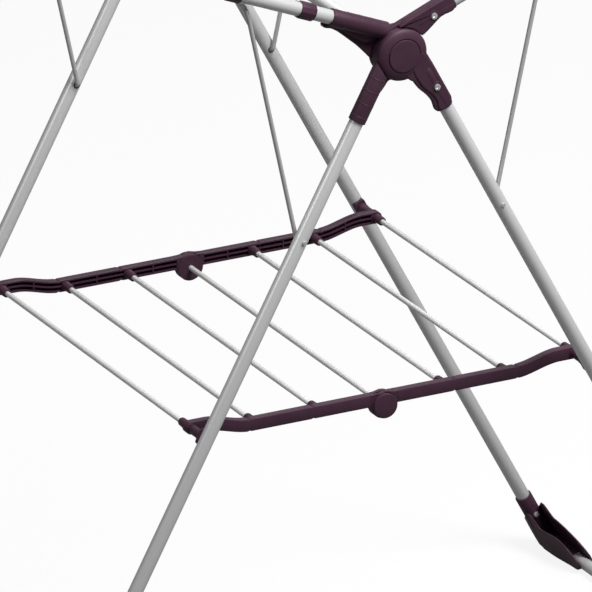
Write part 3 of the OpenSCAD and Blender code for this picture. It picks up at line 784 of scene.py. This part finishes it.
def rod_nose(depth0, depth1, radius=5.2, taper=0.86):
    """A nose about the u axis that tapers from its root at depth0 to a rounded mouth at depth1."""
    way = np.sign(depth1 - depth0)
    mouth = radius * taper
    rows = [(depth0, 0.0), (depth0, radius), (depth1 - way * 1.2, mouth + 0.1)]
    rows += [(depth1 - way * 0.3, mouth - 0.3), (depth1, mouth - 0.9), (depth1, 0.0)]
    return turned(rows, sides=32)


for left in (False, True):
    collars = []
    for i in range(WING_RODS):
        at = [FIRST_ROD + i * WING_PITCH, -WING_INSET, WING_OFF]
        for far in (False, True):
            for shell in (faceted_sleeve(COLLAR_LEN, COLLAR_R), rod_nose(0.0, -TUBE_R - COLLAR_NOSE)):
                collars.append(moved(shifted(shell, at), on_wing, left=left, far=far))
    put_moulding(name_of(left, None, "wing_collars"), collars, name_of(left, None, "wing"))

# ---- Bails and their seats ----
# Each bail is one silver wire, 5 mm thick, hooked into holes in the legs and
# bent over the top; its crossbar rests in two plum seats on the second rod.

WIRE = silver_coat("silver_bail_wire", (0.50, 0.505, 0.50), 600.0)
BAIL_R = 2.5
BAIL_S = 229.0
SEAT_S = 200.0
SEAT_DROP = TUBE_R + BAIL_R + 1.5
BAIL_BEND = 14.0
BAIL_Y = LEG_Y - TUBE_R - PLAY - BAIL_R
FOOT_BEND = 4.0


def bail_line(reach):
    """Half the bail, from the tip through the leg: out along Y, a tight bend up, the long side, a
    quarter circle of BAIL_BEND, and half the crossbar. Columns are outwards and up the wire."""
    q = np.linspace(0.0, np.pi / 2, 9)
    out = np.concatenate([[LEG_Y + TUBE_R + 1.5], BAIL_Y + FOOT_BEND * (1 - np.sin(q))])
    up = np.concatenate([[0.0], FOOT_BEND * (1 - np.cos(q))])
    over = np.linspace(0.0, np.pi / 2, 13)
    out = np.concatenate([out, BAIL_Y - BAIL_BEND + BAIL_BEND * np.cos(over), [0.0]])
    up = np.concatenate([up, reach - BAIL_BEND + BAIL_BEND * np.sin(over), [reach]])
    return out, up


for left in (False, True):
    turn = -1.0 if left else 1.0
    foot = on_leg(np.array([LEG_OFF, 0.0, BAIL_S]))
    top = on_wing(np.array([SEAT_S, 0.0, WING_OFF - SEAT_DROP]))
    reach = np.hypot(top[0] - foot[0], top[2] - foot[2])
    out, up = bail_line(reach)
    x = foot[0] + up * (top[0] - foot[0]) / reach
    z = foot[2] + up * (top[2] - foot[2]) / reach
    near = np.stack([x * turn, -out, z], 1)
    far = (near * [1, -1, 1])[:-1][::-1]
    lean = np.array([(top[2] - foot[2]), 0.0, -(top[0] - foot[0]) * turn]) / reach
    node_name = name_of(left, None, "bail")
    wire = piped(np.concatenate([near, far]), BAIL_R, lean, edge=0.5, sides=28)
    put_piece(node_name + "_wire", [wire], node_name, WIRE, [node_name])

# A thin plum bush lines the hole on the inner side of each leg
bush = moulded_ring(
    [(-7.0, 2.8), (-8.0, 2.8), (-8.2, 3.05), (-8.2, 3.6), (-8.0, 3.9), (-7.0, 3.9)], (LEG_OFF, BAIL_S),
)
for left in (False, True):
    bushes = [moved(bush, on_leg, left=left, far=far) for far in (False, True)]
    name = name_of(left, None, "bail_bushes")
    put_piece(name, bushes, name_of(left, None, "legs"), PLUM, [])

# The seats: each is a hook round the second rod, with a wall and a roof that the crossbar comes up to
SEAT_ROD = FIRST_ROD + WING_PITCH
SEAT_Y = WING_Y - 40.0
SEAT_W = 14.0
hook = eased([
    (SEAT_ROD + 6.6, 4), (SEAT_ROD + 2, 7), (SEAT_ROD - 4, 7.2), (SEAT_S - 5.4, 5), (SEAT_S - 6.2, -6),
    (SEAT_S - 6, -SEAT_DROP - 1.2), (SEAT_S - 2.9, -SEAT_DROP - 1.6), (SEAT_S - 2.9, -SEAT_DROP + 2.9),
    (SEAT_S + 4, -SEAT_DROP + 3.1), (SEAT_ROD - 9, -6), (SEAT_ROD + 2, -6.6), (SEAT_ROD + 6.4, -3),
], 2.5)
seat = shifted(plate(hook, 0.0, SEAT_W, 1.2), [0.0, SEAT_Y - LEG_Y - SEAT_W / 2, WING_OFF])
for left in (False, True):
    seats = [moved(seat, on_wing, left=left, far=far) for far in (False, True)]
    put_moulding(name_of(left, None, "bail_seats"), seats, name_of(left, None, "wing"))

# ---- Folding shelf: four half rails, hinge caps and leg brackets ----
# Each half rail is a plum moulding: a channel, open inwards, with a middle rib, cross
# ribs and a nose for each rod. The halves turn on the middle rod in round knuckles.

SHELF_GAP = 40.5
RAIL_Y = LEG_Y - SHELF_GAP
RAIL_W = 10.0
RAIL_BACK = -RAIL_W / 2
RAIL_FACE = RAIL_W / 2
HINGE_R = 15.5
NOSE = 14.5
RING_H = 1.5
FLANGE = 2.2
RIB = 1.4
RISE_FROM = 2 * SHELF_PITCH + 8.0
RISE_TO = SHELF_END_X - 18.0
RISE = SHELF_END_Z - ROD_Z
NOTCHES = SHELF_PITCH * np.array([1, 2]) + 9.0
NOTCH_HALF = 2.4
NOTCH_DEPTH = 0.13


def rail_lift(x):
    """The rail's middle line: level, then a smooth rise to the leg."""
    return RISE * ease((x - RISE_FROM) / (RISE_TO - RISE_FROM))


def channel(x0, x1):
    """The rail's section carried along x. Columns of the section are depth outwards and height; the
    height shrinks in a shallow notch beside each rod: z * (1 - NOTCH_DEPTH * bell)."""
    half, web = RAIL_H / 2, RAIL_FACE - FLANGE
    soft = 0.9
    section = np.array([
        (RAIL_BACK, half - 0.5), (RAIL_BACK + 0.5, half), (RAIL_FACE - soft, half),
        (RAIL_FACE - 0.25, half - 0.25), (RAIL_FACE, half - soft), (RAIL_FACE, -half + soft),
        (RAIL_FACE - 0.25, -half + 0.25), (RAIL_FACE - soft, -half), (RAIL_BACK + 0.5, -half),
        (RAIL_BACK, -half + 0.5), (RAIL_BACK, -half + FLANGE), (web, -half + FLANGE + 0.3),
        (web, -RIB / 2 - 0.2), (RAIL_BACK, -RIB / 2), (RAIL_BACK, RIB / 2), (web, RIB / 2 + 0.2),
        (web, half - FLANGE - 0.3), (RAIL_BACK, half - FLANGE),
    ])
    marks = (NOTCHES[:, None] + NOTCH_HALF * np.linspace(-1.0, 1.0, 5)).ravel()
    x = np.unique(np.concatenate([np.linspace(x0, x1, 60), marks]))
    bell = sum(np.clip(1 - np.abs(x - notch) / NOTCH_HALF, 0.0, 1.0) for notch in NOTCHES)
    z = ROD_Z + rail_lift(x)[:, None] + section[None, :, 1] * (1 - NOTCH_DEPTH * bell[:, None])
    u = np.broadcast_to(section[None, :, 0], z.shape)
    return closed_grid(np.stack([np.broadcast_to(x[:, None], z.shape), u, z], -1))


def on_rail(points, left=False, far=False):
    """Rail coordinates (x from the hinge, depth outwards, height) turned into X, Y, Z."""
    x, u, z = np.moveaxis(points, -1, 0)
    return np.stack([-x if left else x, RAIL_Y + u if far else -RAIL_Y - u, z], -1)


def box_outline(x, z, half_x, half_z, radius):
    """A rectangle about x, z with eased corners."""
    corners = [(-half_x, -half_z), (half_x, -half_z), (half_x, half_z), (-half_x, half_z)]
    return eased([(x + across, z + up) for across, up in corners], radius)


def cross_rib(x):
    """A thin upright rib that closes the channel halfway between two rods."""
    outline = box_outline(x, ROD_Z + rail_lift(x), RIB / 2, RAIL_H / 2 - 1.0, 0.2)
    return plate(outline, RAIL_BACK + 0.1, RAIL_FACE - 1.0, 0.2)


def rod_block(x):
    """The solid stretch of the rail where a rod is seated."""
    outline = box_outline(x, ROD_Z + rail_lift(x), 5.0, RAIL_H / 2 - 0.6, 1.0)
    return plate(outline, RAIL_BACK + 0.05, RAIL_FACE - 1.0, 0.3)


CENTRE_BUMP = 2.3
CHANNEL_START = 16.4
BUTT_END = 17.2
RAIL_TOP = ROD_Z + RAIL_H / 2
RAIL_UNDER = ROD_Z - RAIL_H / 2


def hinge_block(low, high):
    """The butt end of a half rail from the middle to the channel, in one half of the rail's width. Its
    top swells over the hinge by CENTRE_BUMP * exp(-(x / 8)**2)."""
    x = np.array([0.15, 3.0, 6.0, 9.0, 12.0, 15.0])
    top = np.stack([x, RAIL_TOP + CENTRE_BUMP * np.exp(-((x / 8.0) ** 2))], 1)
    foot = [(BUTT_END, RAIL_TOP), (BUTT_END, RAIL_UNDER), (x[0], RAIL_UNDER)]
    return plate(eased(np.concatenate([top, foot]), 1.2), low, high, 0.5)


def beside_knuckle(low, high):
    """The end of the channel's other half, hollowed by an arc round the knuckle that turns there."""
    arc = np.radians(np.linspace(62.0, 27.0, 6))
    hollow = (HINGE_R + PLAY) * np.stack([np.cos(arc), np.sin(arc)], 1) + [0.0, HINGE_Z]
    foot = [(15.9, RAIL_UNDER), (BUTT_END, RAIL_UNDER), (BUTT_END, RAIL_TOP)]
    return plate(eased(np.concatenate([hollow, foot]), 0.6), low, high, 0.3)


def half_rail(front):
    """One half rail on the near side. A front half's knuckle fills the outer half of the rail's width,
    a rear half's the inner half, and each leaves the other's place free."""
    split = PLAY / 2
    low, high = (split, RAIL_FACE) if front else (RAIL_BACK - 1.0, -split)
    other_low, other_high = (RAIL_BACK, -split) if front else (split, RAIL_FACE)
    rib_places = (SHELF_PITCH * 0.6, SHELF_PITCH * 1.5, (2 * SHELF_PITCH + SHELF_END_X) / 2)
    shells = [
        channel(CHANNEL_START, SHELF_END_X), hinge_block(max(low, RAIL_BACK), high),
        turned(rounded_rim(low, high, HINGE_R, 0.5), (0.0, HINGE_Z), sides=72),
        beside_knuckle(other_low, other_high),
    ]
    shells += [cross_rib(x) for x in rib_places]
    shells += [rod_block(x) for x in (SHELF_PITCH, 2 * SHELF_PITCH)]
    for x in (SHELF_PITCH, 2 * SHELF_PITCH, SHELF_END_X):
        shells.append(shifted(rod_nose(0.0, RAIL_BACK - NOSE, 5.6), [x, 0.0, ROD_Z + rail_lift(x)]))
    end = (SHELF_END_X, SHELF_END_Z)
    shells.append(turned(rounded_rim(RAIL_BACK, RAIL_FACE, RAIL_H / 2, 0.8), end, sides=48))
    shells.append(turned(rounded_rim(0.0, RAIL_FACE + RING_H, RAIL_H / 2 - 1.0, 0.5), end, sides=48))
    return shells


for left, far in SIDES:
    side = "left" if left else "right"
    shells = [moved(shell, on_rail, left=left, far=far) for shell in half_rail(not left)]
    put_moulding(f"shelf_rail_{side}_{'far' if far else 'near'}", shells, "shelf_" + side)

# A round cap covers the hinge on the outside of each rail
cap_rows = [
    (5.3, 0.0), (5.3, 14.1), (5.6, 14.5), (8.2, 14.5), (8.9, 14.2), (9.3, 13.4), (9.45, 12.4), (9.5, 0.0),
]
cap = turned(cap_rows, (0.0, HINGE_Z), sides=72)
put_moulding("shelf_hinge_caps", [moved(cap, on_rail, far=far) for far in (False, True)], "shelf_left")

# The leg brackets: a pad on the tube and a round neck that reaches in to the rail's ring
SHELF_S = 469.0
PAD_L, PAD_W, PAD_T = 19.0, 14.0, 2.5
ring_face = SHELF_GAP - RAIL_W / 2 - RING_H - PLAY
neck = [
    (-2.0, 0.0), (-2.0, 6.0), (-16.5, 6.0), (-17.2, 5.4), (-ring_face + 0.8, 5.4), (-ring_face, 5.0),
    (-ring_face, 0.0),
]
pad = plate(box_outline(0.0, 0.0, PAD_W / 2, PAD_L / 2, 4.0), -TUBE_R - PAD_T, -2.0, 1.2)
bracket = [shifted(shell, [LEG_OFF, 0.0, SHELF_S]) for shell in (pad, turned(neck, sides=40))]
for left, far in SIDES:
    placed = [moved(shell, on_leg, left=left, far=far) for shell in bracket]
    put_moulding(name_of(left, far, "shelf_bracket"), placed, name_of(left, None, "legs"))

# ---- Feet ----
# A foot is one plum moulding: a sleeve on the leg between two curved sides that run in
# along the floor bar, with an open trough between them where the bar enters its boss.
# A screw through the sleeve holds it on the leg.

FOOT_LEN = 97.0
HEEL_R = 11.5
NOSE_HALF = 9.5
WALL = 2.2
SIDE_H = 35.0
EAR_H = 53.0
SLEEVE_H = 65.0
BOSS_Y = 74.0
HEEL_LIFT = 1.2
HEEL_SWELL = 1.6
SOLE_INSET = 0.7
NOSE_FROM = 78.0
NOSE_TIP = 8.0
HEEL_ROUND = 4.0
RIM_LOW = 9.0
LEAN_IN = 0.12
SCREW_H = 39.0


def rim_height(y):
    """Height of the sides: level at SIDE_H, an ear beside the leg up to EAR_H, and an ellipse down to
    RIM_LOW at the nose."""
    fall = np.sqrt(np.clip(1 - np.clip((y - 0.6 * FOOT_LEN) / (0.4 * FOOT_LEN), 0, 1) ** 2, 0.0, 1.0))
    ear = (EAR_H - SIDE_H) * ease((y + 10.0) / 30.0) * (1 - ease((y - 22.0) / 10.0))
    return np.maximum(SIDE_H * fall + ear, RIM_LOW)


def half_width(y):
    """Half the foot's width: a round heel, a slight swell, then in to the nose."""
    heel = np.sqrt(np.clip(HEEL_R**2 - np.minimum(y, 0.0) ** 2, 0.0, None))
    side = HEEL_R + ease(y / 12.0) - (HEEL_R + 1 - NOSE_HALF) * ease((y - 30.0) / 50.0)
    return np.where(y < 0, heel, side)


def floor_height(n, y):
    """Height up the leg of the sole under the point n, y: the floor plane, lifted a little at the heel
    and rounded up at both ends by reach * (1 - sqrt(1 - t * t)), where t runs from 0 to 1 at each end."""
    ground = -(BAR_Z - HEEL_LIFT * (y < 10.5) + n * np.sin(LEG_ANGLE)) / np.cos(LEG_ANGLE)
    nose = 1 - np.sqrt(1 - np.clip((y - NOSE_FROM) / (FOOT_LEN - NOSE_FROM), 0.0, 1.0) ** 2)
    heel = 1 - np.sqrt(1 - np.clip(-y / HEEL_R, 0.0, 1.0) ** 2)
    return ground + (NOSE_TIP - ground) * nose + HEEL_ROUND * heel


def foot_walls():
    """The two sides and the heel as one wall along a U: a rounded strip of WALL thickness whose rim
    follows rim_height. Rows run along the U, columns round the strip's section. The heel's outside
    swells by HEEL_SWELL * sin(pi * share of its height), and the sides lean in by up to LEAN_IN."""
    q = np.linspace(-np.pi / 2, np.pi / 2, 21)
    y_side = np.concatenate([np.linspace(FOOT_LEN - 0.3, 12.0, 44), [10.6, 10.4, 6.0, 3.0]])
    y = np.concatenate([y_side, -(HEEL_R - HEEL_SWELL) * np.cos(q), y_side[::-1]])
    n = np.concatenate([half_width(y_side), -HEEL_R * np.sin(q), -half_width(y_side)[::-1]])
    ahead = np.stack([np.gradient(n), np.gradient(y)], 1)
    ahead /= np.linalg.norm(ahead, axis=1, keepdims=True)
    inward = np.stack([ahead[:, 1], -ahead[:, 0]], 1)
    to_middle = np.array([0.0, 30.0]) - np.stack([n, y], 1)
    inward *= np.sign(np.sum(inward * to_middle, axis=1))[:, None]
    rim = rim_height(y)
    turn = np.linspace(0.0, np.pi, 9)
    depth = np.concatenate([[0.0], WALL / 2 * (1 - np.cos(turn)), [WALL]])
    lift = np.concatenate([[0.0], WALL / 2 * (np.sin(turn) - 1), [0.0]])
    plan_n = n[:, None] + inward[:, :1] * depth
    plan_y = y[:, None] + inward[:, 1:] * depth
    height = rim[:, None] + lift
    ground = floor_height(plan_n, plan_y)
    height[:, 0] = ground[:, 0]
    height[:, -1] = ground[:, -1]
    share = np.linspace(0.0, 1.0, 7)[1:-1]
    swell = HEEL_SWELL * np.sin(np.pi * share) * ease((12.0 - y[:, None]) / 14.0)
    outer = [np.broadcast_to(grid[:, :1], swell.shape) for grid in (plan_n, plan_y)]
    plan_n = np.concatenate([plan_n[:, :1], outer[0], plan_n[:, 1:]], 1)
    plan_y = np.concatenate([plan_y[:, :1], outer[1] - swell, plan_y[:, 1:]], 1)
    rise = height[:, :1] + (height[:, 1:2] - height[:, :1]) * share
    height = np.concatenate([height[:, :1], rise, height[:, 1:]], 1)
    lean = LEAN_IN * np.clip((height - RIM_LOW) / 30.0, 0.0, 1.0) * (y[:, None] > 12)
    return closed_grid(np.stack([plan_n * (1 - lean), -plan_y, -height], -1))


def foot_base():
    """The sole between the sides: the plan drawn in by SOLE_INSET, from the floor up to the bar's axis."""
    y = np.linspace(0.0, FOOT_LEN - 3.0, 30)
    q = np.linspace(-np.pi / 2, np.pi / 2, 15)
    heel_r, half = HEEL_R - SOLE_INSET, half_width(y) - SOLE_INSET
    edge_y = np.concatenate([y[::-1], -(heel_r - HEEL_SWELL) * np.cos(q)[1:-1], y])
    edge_n = np.concatenate([half[::-1], -heel_r * np.sin(q)[1:-1], -half])
    top = np.stack([edge_n, -edge_y, np.zeros_like(edge_y)], -1)
    under = np.stack([edge_n, -edge_y, -floor_height(edge_n, edge_y)], -1)
    return closed_grid(np.stack([under, top]))


def along_bar(rows, sides=40):
    """A turned shape about the bar's axis: rows are (distance inwards from the leg, radius)."""
    inwards, r = np.asarray(rows, float).T[..., None]
    q = np.linspace(0.0, 2 * np.pi, sides, endpoint=False)
    return closed_grid(np.stack([r * np.cos(q), -inwards * np.ones(sides), r * np.sin(q)], -1))


foot_shells = [
    foot_walls(), foot_base(),
    along_bar([(8, 0), (8, 8.9), (BOSS_Y - 1, 8.9), (BOSS_Y - 0.3, 8.6), (BOSS_Y, 8.0), (BOSS_Y, 0)]),
    sleeve((0.0, 0.0), SOCKET_R, -SLEEVE_H, 4.0, edge=0.9),
]
foot_screw = facing_in(pan_head(SOCKET_R - 0.2, (0.0, -SCREW_H), radius=3.7, rise=2.6))
foot_place = [LEG_OFF, 0.0, LEG_LEN]
for left, far in SIDES:
    shells = [moved(shifted(shell, foot_place), on_leg, left=left, far=far) for shell in foot_shells]
    put_moulding(name_of(left, far, "foot"), shells, name_of(left, None, "legs"))
for left in (False, True):
    heads = [moved(shifted(foot_screw, foot_place), on_leg, left=left, far=far) for far in (False, True)]
    put_screws(name_of(left, None, "foot_screws"), heads, name_of(left, None, "legs"))

# ---- Axle ----
# A white-lacquered steel tube runs through both ends of the hub and bears all the
# knuckles. It hardly shows between them, so the plain solid is kept and coated.

axle_tube = frame["nodes"]["hub_axle"]
axle_tube.data.materials.clear()
axle_tube.data.materials.append(WHITE)
